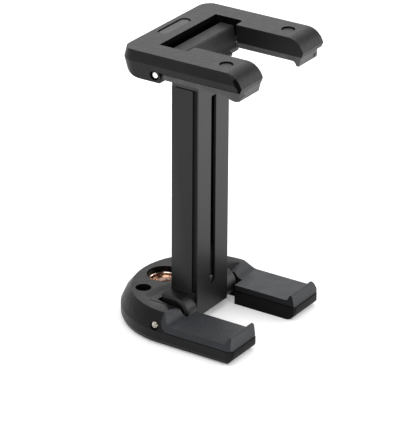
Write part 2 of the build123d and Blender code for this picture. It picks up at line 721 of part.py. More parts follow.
with BuildPart() as jaw_cutout:
    # Narrow gap between the arms, wide pocket for the slider's head, with a rounded step between
    with BuildSketch(level(jaw_bottom - upper_lip_height)) as cutout_plan:
        with BuildLine():
            Polyline(
                (-jaw_gap / 2, jaw_end_y - cut_margin),
                (-jaw_gap / 2, stem_front + jaw_pocket_front),
                (-jaw_pocket_half, stem_front + jaw_pocket_front),
                (-jaw_pocket_half, stem_front + jaw_pocket_back),
                (jaw_pocket_half, stem_front + jaw_pocket_back),
                (jaw_pocket_half, stem_front + jaw_pocket_front),
                (jaw_gap / 2, stem_front + jaw_pocket_front),
                (jaw_gap / 2, jaw_end_y - cut_margin),
                close=True,
            )
        make_face()
        step_y = stem_front + jaw_pocket_front
        for side in (-1, 1):
            fillet(corner(cutout_plan, side * jaw_pocket_half, step_y), jaw_pocket_step_round)
            fillet(corner(cutout_plan, side * jaw_gap / 2, step_y), jaw_pocket_step_round / 2)
    extrude(amount=jaw_top - jaw_bottom + 2 * upper_lip_height)

with BuildPart() as upper_jaw_shell:
    add(jaw_form.part)
    add(jaw_cutout.part, mode=Mode.SUBTRACT)
    # Round socket in the rear wall, in which the head turns
    with BuildSketch(x_axis_at(upper_pin_y, upper_pin_z)):
        Circle(socket_radius)
    extrude(amount=jaw_pocket_half, both=True, mode=Mode.SUBTRACT)
    # Seat of the oval inlay and holes for the plugs
    with BuildSketch(level(jaw_top)):
        with Locations((0, stem_front + inlay_behind)):
            SlotOverall(inlay_length, inlay_width)
    extrude(amount=-(inlay_thickness + inlay_recess), mode=Mode.SUBTRACT)
    with BuildSketch(level(jaw_arm_bottom)):
        with Locations((0, stem_front - mark_ahead)):
            with GridLocations(mark_spacing, 1, 2, 1):
                Circle(mark_radius)
    extrude(amount=jaw_arm_thickness, mode=Mode.SUBTRACT)
    # Hinge bore with wider mouths
    with BuildSketch(x_axis_at(upper_pin_y, upper_pin_z)):
        Circle(pin_radius + seat_clearance)
    extrude(amount=jaw_width, both=True, mode=Mode.SUBTRACT)
    jaw_side_half = jaw_width / 2 - (jaw_crease - upper_pin_z) * tan(radians(jaw_lower_bevel_angle))
    for side in (-1, 1):
        with BuildSketch(x_axis_at(upper_pin_y, upper_pin_z).offset(side * jaw_width / 2)):
            Circle(pin_mouth_radius)
        extrude(amount=-side * (jaw_width / 2 - jaw_side_half + pin_mouth_depth), mode=Mode.SUBTRACT)
finish(upper_jaw_shell, "upper_jaw_shell")

grip_front_y = jaw_end_y + upper_grip_setback
nose_y = stem_front + upper_grip_back
lip_low = upper_grip_face - upper_lip_height
lip_back_y = grip_front_y + upper_lip_slope + upper_lip_width
grip_outer = jaw_width / 2 - jaw_bevel - upper_grip_side_inset

with BuildSketch(level(lip_low)) as upper_grip_plan:
    with BuildLine():
        Polyline(
            (jaw_gap / 2, grip_front_y),
            (grip_outer, grip_front_y),
            (grip_outer, nose_y),
            (jaw_gap / 2, nose_y),
            close=True,
        )
    make_face()
    fillet(corner(upper_grip_plan, grip_outer, grip_front_y), upper_grip_corner_round)

with BuildPart() as upper_lip_corner:
    # The lip runs on round the outer corner and fades into the face
    with BuildSketch(level(lip_low)):
        add(upper_grip_plan.sketch_local)
        offset(upper_grip_plan.sketch_local, amount=-upper_lip_width, mode=Mode.SUBTRACT)
    extrude(amount=upper_lip_height)
    with BuildSketch(Plane.YZ.offset(grip_outer - upper_grip_corner_round)):
        with BuildLine():
            Polyline(
                (grip_front_y, upper_grip_face),
                (grip_front_y + upper_lip_slope, lip_low),
                (lip_back_y, lip_low),
                (lip_back_y + upper_lip_return, upper_grip_face),
                close=True,
            )
        make_face()
    extrude(amount=upper_grip_corner_round, mode=Mode.INTERSECT)

with BuildPart() as upper_grip_right:
    # Side view: flat face below, lip hanging at the front, rounded nose behind
    with BuildSketch(Plane.YZ) as upper_grip_side:
        lip_root_y = lip_back_y + upper_lip_height / 2
        with BuildLine():
            Polyline(
                (grip_front_y, jaw_arm_bottom),
                (grip_front_y + upper_lip_slope, lip_low),
                (lip_back_y, lip_low),
                (lip_root_y, upper_grip_face),
                (nose_y, upper_grip_face),
                (nose_y, jaw_arm_bottom),
                close=True,
            )
        make_face()
        fillet(corner(upper_grip_side, lip_root_y, upper_grip_face), upper_lip_fillet)
        fillet(corner(upper_grip_side, nose_y, upper_grip_face), upper_grip_nose_round)
    extrude(amount=jaw_width / 2)
    extrude(upper_grip_plan.sketch, amount=jaw_arm_bottom - lip_low, mode=Mode.INTERSECT)
    add(upper_lip_corner.part)
    add(jaw_cutout.part, mode=Mode.SUBTRACT)
finish(upper_grip_right, "upper_grip_right")

with BuildPart() as upper_grip_left:
    mirror(upper_grip_right.part, about=Plane.YZ)
finish(upper_grip_left, "upper_grip_left")

with BuildPart() as grip_plug_right:
    with BuildSketch(level(jaw_arm_bottom)):
        with Locations((mark_spacing / 2, stem_front - mark_ahead)):
            Circle(mark_radius - seat_clearance)
    extrude(amount=jaw_arm_thickness - mark_recess)
    chamfer(grip_plug_right.edges().group_by(Axis.Z)[-1], mark_recess / 2)
finish(grip_plug_right, "grip_plug_right")

with BuildPart() as grip_plug_left:
    mirror(grip_plug_right.part, about=Plane.YZ)
finish(grip_plug_left, "grip_plug_left")

with BuildPart() as bar_inlay:
    with BuildSketch(level(jaw_top - inlay_thickness - inlay_recess)):
        with Locations((0, stem_front + inlay_behind)):
            SlotOverall(inlay_length - 2 * inlay_gap, inlay_width - 2 * inlay_gap)
    extrude(amount=inlay_thickness)
finish(bar_inlay, "bar_inlay")

with BuildPart() as upper_hinge_pin:
    with BuildSketch(x_axis_at(upper_pin_y, upper_pin_z)):
        Circle(pin_radius)
    extrude(amount=jaw_side_half - pin_recess, both=True)
    chamfer(upper_hinge_pin.edges().filter_by(GeomType.CIRCLE), pin_radius / 5)
finish(upper_hinge_pin, "upper_hinge_pin")
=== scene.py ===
"""Dresses the folding phone clamp: eased mouldings, a cut thread, a wire spring, finishes, floor, light and camera."""

import logging
from dataclasses import dataclass
from enum import Enum
from math import copysign, cos, pi, radians, sin
from typing import Any, Callable, Optional, Union

import bmesh
import bpy
from mathutils import Matrix, Vector

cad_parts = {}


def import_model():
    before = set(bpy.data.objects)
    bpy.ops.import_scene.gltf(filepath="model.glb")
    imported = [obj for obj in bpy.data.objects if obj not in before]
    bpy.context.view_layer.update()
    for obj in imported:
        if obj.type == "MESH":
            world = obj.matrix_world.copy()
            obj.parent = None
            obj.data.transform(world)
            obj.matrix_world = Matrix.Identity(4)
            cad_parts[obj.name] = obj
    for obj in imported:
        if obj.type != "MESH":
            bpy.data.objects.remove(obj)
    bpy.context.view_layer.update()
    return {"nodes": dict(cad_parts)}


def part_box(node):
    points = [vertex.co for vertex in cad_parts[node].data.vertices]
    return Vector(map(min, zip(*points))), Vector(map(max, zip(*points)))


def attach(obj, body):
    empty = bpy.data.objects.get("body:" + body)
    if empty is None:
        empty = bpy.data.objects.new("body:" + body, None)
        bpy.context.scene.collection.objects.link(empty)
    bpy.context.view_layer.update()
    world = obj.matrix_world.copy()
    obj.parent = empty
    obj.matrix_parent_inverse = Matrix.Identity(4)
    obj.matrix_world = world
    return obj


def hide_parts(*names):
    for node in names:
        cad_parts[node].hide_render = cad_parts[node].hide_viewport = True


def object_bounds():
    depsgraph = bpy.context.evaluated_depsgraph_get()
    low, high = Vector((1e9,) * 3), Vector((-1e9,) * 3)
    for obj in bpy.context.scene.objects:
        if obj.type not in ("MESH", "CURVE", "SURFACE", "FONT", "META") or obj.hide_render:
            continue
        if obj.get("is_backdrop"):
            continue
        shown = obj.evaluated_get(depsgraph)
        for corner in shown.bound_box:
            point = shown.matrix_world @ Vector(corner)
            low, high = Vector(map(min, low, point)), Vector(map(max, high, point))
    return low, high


log = logging.getLogger("phone_clamp")

MM = 0.001
Point = tuple[float, float, float]
Colour = tuple[float, float, float]
Reshape = Callable[[bmesh.types.BMesh], None]
# Face attribute that holds how much painted black shade a face carries.
PAINTED_SHADE_ATTRIBUTE = "painted_shade_and_stain"
# Black used for painted shade, and also for the blackened shanks of the pins.
SHADE_AND_OXIDE_BLACK: Colour = (0.004, 0.004, 0.004)
MIX_COLOURS = (6, 7)
MIX_RESULT = 2


# Shader maths


class Term:
    """A value socket of a shader tree that can be used in Python expressions."""

    def __init__(self, recipe: "Recipe", socket: bpy.types.NodeSocket) -> None:
        """Keeps the tree that the value belongs to, and its socket."""
        self.recipe = recipe
        self.socket = socket

    def _with(self, operation: str, first: Any, second: Any) -> "Term":
        """Adds a Math node for two values.

        Args:
            operation: the Math node's operation.
            first: the left value, a Term or a number.
            second: the right value, a Term or a number.

        Returns:
            The result as a Term.
        """
        return self.recipe.add("ShaderNodeMath", {"operation": operation}, {0: first, 1: second}).term()

    def __add__(self, other: Any) -> "Term":
        """Sum of two values."""
        return self._with("ADD", self, other)

    def __radd__(self, other: Any) -> "Term":
        """Sum with a number on the left."""
        return self._with("ADD", other, self)

    def __sub__(self, other: Any) -> "Term":
        """Difference of two values."""
        return self._with("SUBTRACT", self, other)

    def __rsub__(self, other: Any) -> "Term":
        """Difference from a number on the left."""
        return self._with("SUBTRACT", other, self)

    def __mul__(self, other: Any) -> "Term":
        """Product of two values."""
        return self._with("MULTIPLY", self, other)

    def swing(self, spread: float) -> "Term":
        """The difference from a noise's middle, 0.5, times a spread."""
        return (self - 0.5) * spread

    def magnitude(self) -> "Term":
        """The value without its sign."""
        return self.recipe.add("ShaderNodeMath", {"operation": "ABSOLUTE"}, {0: self}).term()

    def clamped(self) -> "Term":
        """The value held between 0 and 1."""
        return self.recipe.add("ShaderNodeClamp", {}, {"Value": self}).term()

    def smooth_between(self, low: float, high: float) -> "Term":
        """A smooth rise from 0 to 1.

        Args:
            low: the value at which the rise starts.
            high: the value at which it ends.

        Returns:
            The rise as a Term.
        """
        inputs = {"Value": self, "From Min": low, "From Max": high}
        return self.recipe.add("ShaderNodeMapRange", {"interpolation_type": "SMOOTHSTEP"}, inputs).term("Result")


class Step:
    """A node that was added to a shader tree."""

    def __init__(self, recipe: "Recipe", node: bpy.types.Node) -> None:
        """Keeps the tree and the node."""
        self.recipe = recipe
        self.node = node

    def term(self, output: Union[int, str] = 0) -> Term:
        """One of the node's outputs as a Term."""
        return Term(self.recipe, self.node.outputs[output])


class Recipe:
    """A material's node tree, built from an empty one."""

    def __init__(self, name: str) -> None:
        """Starts an empty tree.

        Args:
            name: the material's name.
        """
        self.material = bpy.data.materials.new(name)
        self.material.use_nodes = True
        self.tree = self.material.node_tree
        self.tree.nodes.clear()

    def add(self, kind: str, settings: dict[str, Any], inputs: dict[Union[int, str], Any]) -> Step:
        """Adds a node.

        Args:
            kind: the node's type.
            settings: properties set before the sockets, such as a Math node's operation.
            inputs: a value, a Term or a Step for each socket that isn't left as it is.

        Returns:
            The new node as a Step.
        """
        node = self.tree.nodes.new(kind)
        for key, value in settings.items():
            setattr(node, key, value)
        for key, value in inputs.items():
            if isinstance(value, Step):
                value = value.term()
            if isinstance(value, Term):
                self.tree.links.new(value.socket, node.inputs[key])
            else:
                node.inputs[key].default_value = value
        return Step(self, node)

    def place(self, scale: Point = (1.0, 1.0, 1.0)) -> Term:
        """The object's own coordinates in millimetres.

        Args:
            scale: how much each direction is squeezed, 1 for none.

        Returns:
            The coordinates as a Term.
        """
        coordinates = self.add("ShaderNodeTexCoord", {}, {}).term("Object")
        stretch = tuple(factor / MM for factor in scale)
        return self.add("ShaderNodeMapping", {}, {"Vector": coordinates, "Scale": stretch}).term()

    def along(self, axis: str) -> Term:
        """Distance from the thread's axis or the floor along X, Y or Z, in millimetres."""
        return self.add("ShaderNodeSeparateXYZ", {}, {"Vector": self.place()}).term(axis)

    def painted_shade_and_stain(self) -> Term:
        """How much painted shade a face carries, from 0 to 1, which is 0 on a piece without such faces."""
        return self.add("ShaderNodeAttribute", {"attribute_name": PAINTED_SHADE_ATTRIBUTE}, {}).term("Fac")

    def noise(self, place: Term, size: float, detail: float) -> Term:
        """Soft noise about 0.5.

        Args:
            place: the coordinates in millimetres.
            size: the size of a spot in millimetres.
            detail: how many finer layers are added.

        Returns:
            The noise as a Term.
        """
        inputs = {"Vector": place, "Scale": 1.0 / size, "Detail": detail}
        return self.add("ShaderNodeTexNoise", {}, inputs).term("Fac")

    def tint(self, share: Any, first: Union[Colour, Term], second: Union[Colour, Term]) -> Term:
        """A mix of two colours.

        Args:
            share: how much of the second colour there is, a Term or a number.
            first: the colour at 0, or a Term.
            second: the colour at 1, or a Term.

        Returns:
            The mixed colour as a Term.
        """
        settings = {"data_type": "RGBA", "blend_type": "MIX"}
        inputs: dict[Union[int, str], Any] = {0: share}
        for socket, colour in zip(MIX_COLOURS, (first, second)):
            inputs[socket] = colour if isinstance(colour, Term) else (*colour, 1.0)
        return self.add("ShaderNodeMix", settings, inputs).term(MIX_RESULT)

    def bump(self, height: Term, depth: float) -> Term:
        """A bumped normal.

        Args:
            height: the relief, from 0 to 1.
            depth: the relief's depth in millimetres.

        Returns:
            The normal as a Term.
        """
        return self.add("ShaderNodeBump", {}, {"Height": height, "Strength": 1.0, "Distance": depth * MM}).term()

    def finish(self, painted_shade_and_stain: Optional[Term] = None, **sockets: Any) -> bpy.types.Material:
        """Ends the tree in a principled shader.

        Args:
            painted_shade_and_stain: how much painted black shade covers it, or None.
            sockets: values or Terms by socket name, with spaces written as underscores.

        Returns:
            The finished material.
        """
        inputs = {name.replace("_", " "): value for name, value in sockets.items()}
        shader = self.add("ShaderNodeBsdfPrincipled", {}, inputs)
        if painted_shade_and_stain is not None:
            # Painted shade: marked faces are mixed towards a plain black diffuse shader.
            painted_shade_bsdf = self.add("ShaderNodeBsdfDiffuse", {}, {"Color": (*SHADE_AND_OXIDE_BLACK, 1.0)})
            shader = self.add("ShaderNodeMixShader", {}, {"Fac": painted_shade_and_stain, 1: shader, 2: painted_shade_bsdf})
        self.add("ShaderNodeOutputMaterial", {}, {"Surface": shader})
        return self.material


# Finishes


@dataclass(frozen=True)
class MouldedPlastic:
    """Black moulded plastic with a fine spark-eroded grain, faint cloudiness and painted black shade on marked faces.
    """

    name: str
    colour: Colour
    cloud_colour: Colour
    roughness: float
    specular: float = 0.2
    grain: float = 0.42
    grain_depth: float = 0.07
    coarse_grain: float = 1.68
    coarse_share: float = 0.3
    roughness_swing: float = 0.12
    cloud: float = 5.0
    cloud_range: tuple[float, float] = (0.3, 0.7)

    def make(self) -> bpy.types.Material:
        """Builds the material."""
        recipe = Recipe(self.name)
        place = recipe.place()
        cloud = recipe.noise(place, self.cloud, detail=3.0)
        grain = recipe.noise(place, self.grain, detail=1.0)
        coarse = recipe.noise(place, self.coarse_grain, detail=2.0)
        relief = grain * (1 - self.coarse_share) + coarse * self.coarse_share
        return recipe.finish(
            # Painted black shade on the faces that the piece marks.
            painted_shade_and_stain=recipe.painted_shade_and_stain(),
            Base_Color=recipe.tint(cloud.smooth_between(*self.cloud_range), self.colour, self.cloud_colour),
            Roughness=self.roughness + coarse.swing(self.roughness_swing),
            Specular_IOR_Level=self.specular,
            Normal=recipe.bump(relief, self.grain_depth),
        )


@dataclass(frozen=True)
class SoftRubber:
    """Bluish grey rubber: dull, slightly dusty on the surface."""

    name: str
    colour: Colour
    dust_colour: Colour
    roughness: float = 0.52
    specular: float = 0.35
    pore: float = 0.45
    pore_depth: float = 0.065
    dust: float = 2.4
    dust_range: tuple[float, float] = (0.35, 0.75)
    dust_roughness: float = 0.1
    sheen: float = 0.06
    sheen_roughness: float = 0.5

    def make(self) -> bpy.types.Material:
        """Builds the material."""
        recipe = Recipe(self.name)
        place = recipe.place()
        dust = recipe.noise(place, self.dust, detail=4.0).smooth_between(*self.dust_range)
        pores = recipe.noise(place, self.pore, detail=2.0)
        return recipe.finish(
            # Painted black shade on the faces that the piece marks.
            painted_shade_and_stain=recipe.painted_shade_and_stain(),
            Base_Color=recipe.tint(dust, self.colour, self.dust_colour),
            Roughness=self.roughness + dust * self.dust_roughness,
            Specular_IOR_Level=self.specular,
            Normal=recipe.bump(pores, self.pore_depth),
            Sheen_Weight=self.sheen,
            Sheen_Roughness=self.sheen_roughness,
        )


@dataclass(frozen=True)
class SatinPaint:
    """Satin charcoal coating on sheet metal, brushed upright, with painted shade that darkens it towards the bottom.
    """

    name: str
    low_colour: Colour
    high_colour: Colour
    low_height: float
    high_height: float
    roughness: float = 0.38
    metallic: float = 0.35
    specular: float = 0.3
    line: float = 0.12
    line_squeeze: Point = (1.0, 1.0, 0.02)
    line_depth: float = 0.0012
    tone_swing: float = 0.25
    roughness_swing: float = 0.2

    def coat(self, recipe: Recipe) -> dict[str, Any]:
        """Works out the coating's sockets.

        Args:
            recipe: the tree that they are built in.

        Returns:
            Values and Terms by socket name.
        """
        lines = recipe.noise(recipe.place(self.line_squeeze), self.line, detail=3.0)
        # Painted shade: the colour darkens from the top down to the bottom, with the brushed lines' own random tone
        # added on top.
        rise = recipe.along("Z").smooth_between(self.low_height, self.high_height)
        share = (rise + lines.swing(self.tone_swing)).clamped()
        return {
            "Base_Color": recipe.tint(share, self.low_colour, self.high_colour),
            "Roughness": self.roughness + lines.swing(self.roughness_swing),
            "Normal": recipe.bump(lines, self.line_depth),
            "Metallic": self.metallic,
            "Specular_IOR_Level": self.specular,
        }

    def make(self) -> bpy.types.Material:
        """Builds the material."""
        recipe = Recipe(self.name)
        return recipe.finish(**self.coat(recipe))


@dataclass(frozen=True)
class GrooveShadedPaint(SatinPaint):
    """Satin coating with painted shade that darkens the grooves up both sides."""

    # Where the painted shade in the side grooves lies, and how dark it is.
    groove_floor: float = 5.45
    groove_back: float = -10.6
    groove_painted_shade: float = 0.6
    groove_blur: float = 0.1

    def make(self) -> bpy.types.Material:
        """Builds the material."""
        recipe = Recipe(self.name)
        # Painted shade in the side grooves, added to the faces' own painted shade.
        aside = recipe.along("X").magnitude()
        inside = 1 - aside.smooth_between(self.groove_floor - self.groove_blur, self.groove_floor)
        ahead = 1 - recipe.along("Y").smooth_between(self.groove_back, self.groove_back + self.groove_blur)
        return recipe.finish(painted_shade_and_stain=inside * ahead * self.groove_painted_shade + recipe.painted_shade_and_stain(), **self.coat(recipe))


@dataclass(frozen=True)
class BrightMetal:
    """Bare metal with turning marks and light handling stains."""

    name: str
    colour: Colour
    stain_colour: Colour
    roughness: float
    mark: float = 0.08
    mark_depth: float = 0.002
    mark_swing: float = 0.1
    stain_size: float = 1.1
    stain_range: tuple[float, float] = (0.45, 0.7)
    stain_roughness: float = 0.15

    def metal(self, recipe: Recipe) -> dict[str, Any]:
        """Works out the metal's sockets.

        Args:
            recipe: the tree that they are built in.

        Returns:
            Values and Terms by socket name.
        """
        place = recipe.place()
        painted_shade_and_stain = recipe.noise(place, self.stain_size, detail=4.0).smooth_between(*self.stain_range)
        marks = recipe.noise(place, self.mark, detail=2.0)
        return {
            "Base_Color": recipe.tint(painted_shade_and_stain, self.colour, self.stain_colour),
            "Metallic": 1.0,
            "Roughness": self.roughness + painted_shade_and_stain * self.stain_roughness + marks.swing(self.mark_swing),
            "Normal": recipe.bump(marks, self.mark_depth),
        }

    def make(self) -> bpy.types.Material:
        """Builds the material."""
        recipe = Recipe(self.name)
        return recipe.finish(**self.metal(recipe))


@dataclass(frozen=True)
class FacedPin(BrightMetal):
    """A blackened pin whose turned end faces are bare metal."""

    stain_size: float = 0.5
    bare_from: float = 14.9
    bare_blur: float = 0.2
    black: Colour = SHADE_AND_OXIDE_BLACK

    def make(self) -> bpy.types.Material:
        """Builds the material."""
        recipe = Recipe(self.name)
        bare = recipe.along("X").magnitude().smooth_between(self.bare_from - self.bare_blur, self.bare_from)
        sockets = self.metal(recipe)
        sockets["Base_Color"] = recipe.tint(bare, self.black, sockets["Base_Color"])
        sockets["Metallic"] = bare
        return recipe.finish(**sockets)


@dataclass(frozen=True)
class StudioSheet:
    """Plain matt sheet for the studio's floor, with a faint glow of its own like a light table."""

    name: str
    colour: Colour
    glow: float
    roughness: float = 0.9
    cloud: float = 60.0
    cloud_share: float = 0.995

    def make(self) -> bpy.types.Material:
        """Builds the material."""
        recipe = Recipe(self.name)
        cloud = recipe.noise(recipe.place(), self.cloud, detail=1.0)
        deeper = tuple(channel * self.cloud_share for channel in self.colour)
        return recipe.finish(
            Base_Color=recipe.tint(cloud, self.colour, deeper),
            Roughness=self.roughness,
            Emission_Color=(1.0, 1.0, 1.0, 1.0),
            Emission_Strength=self.glow,
        )


class Finish(Enum):
    """The clamp's finishes."""

    BASE_PLASTIC = MouldedPlastic("base_black", (0.004, 0.004, 0.004), (0.006, 0.006, 0.006), 0.42, 0.15)
    JAW_PLASTIC = MouldedPlastic("jaw_black", (0.005, 0.005, 0.005), (0.008, 0.0078, 0.0076), 0.4, 0.18)
    HEAD_PLASTIC = MouldedPlastic("head_black", (0.026, 0.026, 0.026), (0.035, 0.0347, 0.0344), 0.45, 0.15)
    PLATE_PLASTIC = MouldedPlastic("oval_plate", (0.018, 0.018, 0.0175), (0.026, 0.026, 0.025), 0.4, 0.3)
    SLIDE_PLASTIC = MouldedPlastic("moulded_slide", (0.006, 0.006, 0.006), (0.009, 0.009, 0.009), 0.4)
    RUBBER = SoftRubber("grip_rubber", (0.009, 0.0102, 0.0135), (0.0135, 0.0152, 0.0195))
    PAD_RUBBER = SoftRubber("pad_rubber", (0.047, 0.0475, 0.0503), (0.071, 0.0715, 0.0745))
    STEM_BLACK = GrooveShadedPaint("stem_black", (0.006, 0.006, 0.006), (0.009, 0.009, 0.009), 5.0, 50.0, 0.45, 0.0)
    STEM_SATIN = SatinPaint("stem_satin", (0.006, 0.006, 0.0062), (0.03, 0.0296, 0.03), 6.0, 58.0, 0.4, 0.2)
    COLLAR_SATIN = SatinPaint("collar_satin", (0.03, 0.03, 0.03), (0.04, 0.04, 0.04), 50.0, 60.0, 0.42, 0.0)
    BLACKENED = SatinPaint("blackened_bar", (0.003, 0.003, 0.003), (0.005, 0.005, 0.005), 5.0, 50.0, 0.5, 0.2)
    STEEL = BrightMetal("turned_steel", (0.72, 0.71, 0.69), (0.5, 0.49, 0.47), 0.22)
    DULL_STEEL = BrightMetal("dull_steel", (0.06, 0.058, 0.055), (0.02, 0.02, 0.02), 0.3)
    BRIGHT_PIN = FacedPin("bright_faced_pin", (0.95, 0.94, 0.92), (0.85, 0.84, 0.82), 0.3, bare_from=14.9)
    DULL_PIN = FacedPin("dull_faced_pin", (0.5, 0.47, 0.42), (0.07, 0.06, 0.05), 0.22, bare_from=16.5)
    SPRING = BrightMetal("spring_wire", (0.3, 0.3, 0.3), (0.2, 0.2, 0.2), 0.3)
    THREAD = BrightMetal("machined_thread", (0.75, 0.56, 0.46), (0.05, 0.02, 0.01), 0.1)
    FLOOR = StudioSheet("pale_floor", (0.9, 0.9, 0.9), 0.22)

    def on(self, piece: bpy.types.Object) -> bpy.types.Object:
        """Gives a piece this finish.

        Args:
            piece: the piece to dress.

        Returns:
            The same piece.
        """
        material = bpy.data.materials.get(self.value.name) or self.value.make()
        piece.data.materials.clear()
        piece.data.materials.append(material)
        return piece


# Pieces


@dataclass(frozen=True)
class Easing:
    """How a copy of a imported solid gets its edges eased."""

    width: float
    segments: int
    crease_degrees: float = 17.0
    flat_degrees: float = 0.6
    same_point: float = 0.002
    sliver: float = 0.005
    shortest_edge: float = 0.0

    def copy_of(self, node: bpy.types.Object, name: str, reshape: Optional[Reshape] = None) -> bpy.types.Object:
        """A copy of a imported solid, with merged points, whole flat faces and eased edges.

        Args:
            node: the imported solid's object.
            name: the new piece's name.
            reshape: what is done to the merged shape before its edges are eased, or None.

        Returns:
            The new piece.
        """
        mesh = bpy.data.meshes.new(name)
        shape = bmesh.new()
        shape.from_mesh(node.data)
        bmesh.ops.remove_doubles(shape, verts=shape.verts, dist=self.same_point * MM)
        if reshape is not None:
            reshape(shape)
            bmesh.ops.dissolve_degenerate(shape, dist=self.sliver * MM, edges=shape.edges)
            shape.normal_update()
        flat = radians(self.flat_degrees)
        bmesh.ops.dissolve_limit(shape, angle_limit=flat, verts=shape.verts, edges=shape.edges)
        if self.shortest_edge:
            bmesh.ops.remove_doubles(shape, verts=shape.verts, dist=self.shortest_edge * MM)
            bmesh.ops.dissolve_limit(shape, angle_limit=flat, verts=shape.verts, edges=shape.edges)
        shape.to_mesh(mesh)
        shape.free()
        mesh.polygons.foreach_set("use_smooth", [True] * len(mesh.polygons))
        mesh.set_sharp_from_angle(angle=radians(self.crease_degrees))
        piece = bpy.data.objects.new(name, mesh)
        bpy.context.scene.collection.objects.link(piece)
        bevel = piece.modifiers.new("easing", "BEVEL")
        bevel.width = self.width * MM
        bevel.segments = self.segments
        bevel.limit_method = "ANGLE"
        bevel.angle_limit = radians(self.crease_degrees)
        bevel.use_clamp_overlap = True
        bevel.miter_outer = "MITER_ARC"
        bevel.harden_normals = True
        plain_mesh(piece)
        return piece


def paint_shade_on_faces(shape: bmesh.types.BMesh, share_of: Callable[[bmesh.types.BMFace], float]) -> None:
    """Writes how much painted shade each face carries.

    Args:
        shape: the piece, changed in place.
        share_of: gives a face's painted shade, from 0 to 1.
    """
    # Painted shade, stored on each face.
    painted_shade_and_stain = shape.faces.layers.float.get(PAINTED_SHADE_ATTRIBUTE) or shape.faces.layers.float.new(PAINTED_SHADE_ATTRIBUTE)
    for face in shape.faces:
        face[painted_shade_and_stain] = share_of(face)


@dataclass(frozen=True)
class Margin:
    """Narrows a small plate or plug in plan, which widens the dark seam round it."""

    width: float

    def __call__(self, shape: bmesh.types.BMesh) -> None:
        """Moves the sides inwards.

        Args:
            shape: the piece, changed in place.
        """
        for axis in (0, 1):
            low = min(vertex.co[axis] for vertex in shape.verts)
            high = max(vertex.co[axis] for vertex in shape.verts)
            middle = (low + high) / 2
            share = 1 - 2 * self.width * MM / (high - low)
            for vertex in shape.verts:
                vertex.co[axis] = middle + (vertex.co[axis] - middle) * share


def plain_mesh(piece: bpy.types.Object) -> bpy.types.Mesh:
    """Turns a piece's evaluated shape into its own plain mesh and removes its modifiers.

    Args:
        piece: the piece with live modifiers.

    Returns:
        The new mesh.
    """
    bpy.context.view_layer.update()
    graph = bpy.context.evaluated_depsgraph_get()
    mesh = bpy.data.meshes.new_from_object(piece.evaluated_get(graph), depsgraph=graph)
    piece.modifiers.clear()
    old, piece.data = piece.data, mesh
    mesh.name = piece.name
    bpy.data.meshes.remove(old)
    return mesh


class CoilTree:
    """A Geometry Nodes tree that sweeps a round or three-sided wire along a coil."""

    STEPS_PER_TURN = 28
    SMOOTH_FROM = 5

    def __init__(self, name: str, sides: int) -> None:
        """Builds the tree.

        Args:
            name: the tree's name.
            sides: how many sides the wire's section has.
        """
        self.group = bpy.data.node_groups.new(name, "GeometryNodeTree")
        self.group.interface.new_socket("Geometry", in_out="INPUT", socket_type="NodeSocketGeometry")
        for label in ("Turns", "Radius", "Height", "Wire"):
            self.group.interface.new_socket(label, in_out="INPUT", socket_type="NodeSocketFloat")
        self.group.interface.new_socket("Material", in_out="INPUT", socket_type="NodeSocketMaterial")
        self.group.interface.new_socket("Geometry", in_out="OUTPUT", socket_type="NodeSocketGeometry")
        given = self.group.nodes.new("NodeGroupInput")
        coil = self.group.nodes.new("GeometryNodeCurveSpiral")
        coil.inputs["Resolution"].default_value = self.STEPS_PER_TURN
        wire = self.group.nodes.new("GeometryNodeCurvePrimitiveCircle")
        wire.inputs["Resolution"].default_value = sides
        sweep = self.group.nodes.new("GeometryNodeCurveToMesh")
        sweep.inputs["Fill Caps"].default_value = True
        smooth = self.group.nodes.new("GeometryNodeSetShadeSmooth")
        smooth.inputs["Shade Smooth"].default_value = sides >= self.SMOOTH_FROM
        real = self.group.nodes.new("GeometryNodeRealizeInstances")
        finish = self.group.nodes.new("GeometryNodeSetMaterial")
        result = self.group.nodes.new("NodeGroupOutput")
        link = self.group.links.new
        link(given.outputs["Turns"], coil.inputs["Rotations"])
        link(given.outputs["Radius"], coil.inputs["Start Radius"])
        link(given.outputs["Radius"], coil.inputs["End Radius"])
        link(given.outputs["Height"], coil.inputs["Height"])
        link(given.outputs["Wire"], wire.inputs["Radius"])
        link(coil.outputs["Curve"], sweep.inputs["Curve"])
        link(wire.outputs["Curve"], sweep.inputs["Profile Curve"])
        link(sweep.outputs["Mesh"], smooth.inputs["Geometry"])
        link(smooth.outputs["Geometry"], real.inputs["Geometry"])
        link(real.outputs["Geometry"], finish.inputs["Geometry"])
        link(given.outputs["Material"], finish.inputs["Material"])
        link(finish.outputs["Geometry"], result.inputs["Geometry"])

    def wind(self, name: str, sizes: dict[str, float], finish: Finish, start: Vector) -> bpy.types.Object:
        """Winds one coil and moves it into place.

        Args:
            name: the new piece's name.
            sizes: the tree's named inputs.
            finish: the coil's finish.
            start: the centre of the coil's lower end, in metres.

        Returns:
            The coil as a plain mesh object at the origin.
        """
        piece = bpy.data.objects.new(name, bpy.data.meshes.new(name))
        bpy.context.scene.collection.objects.link(piece)
        finish.on(piece)
        modifier = piece.modifiers.new("coil", "NODES")
        modifier.node_group = self.group
        for item in self.group.interface.items_tree:
            if item.in_out == "INPUT" and item.name in sizes:
                modifier[item.identifier] = float(sizes[item.name])
            elif item.in_out == "INPUT" and item.name == "Material":
                modifier[item.identifier] = piece.data.materials[0]
        mesh = plain_mesh(piece)
        mesh.transform(Matrix.Translation(start))
        return piece


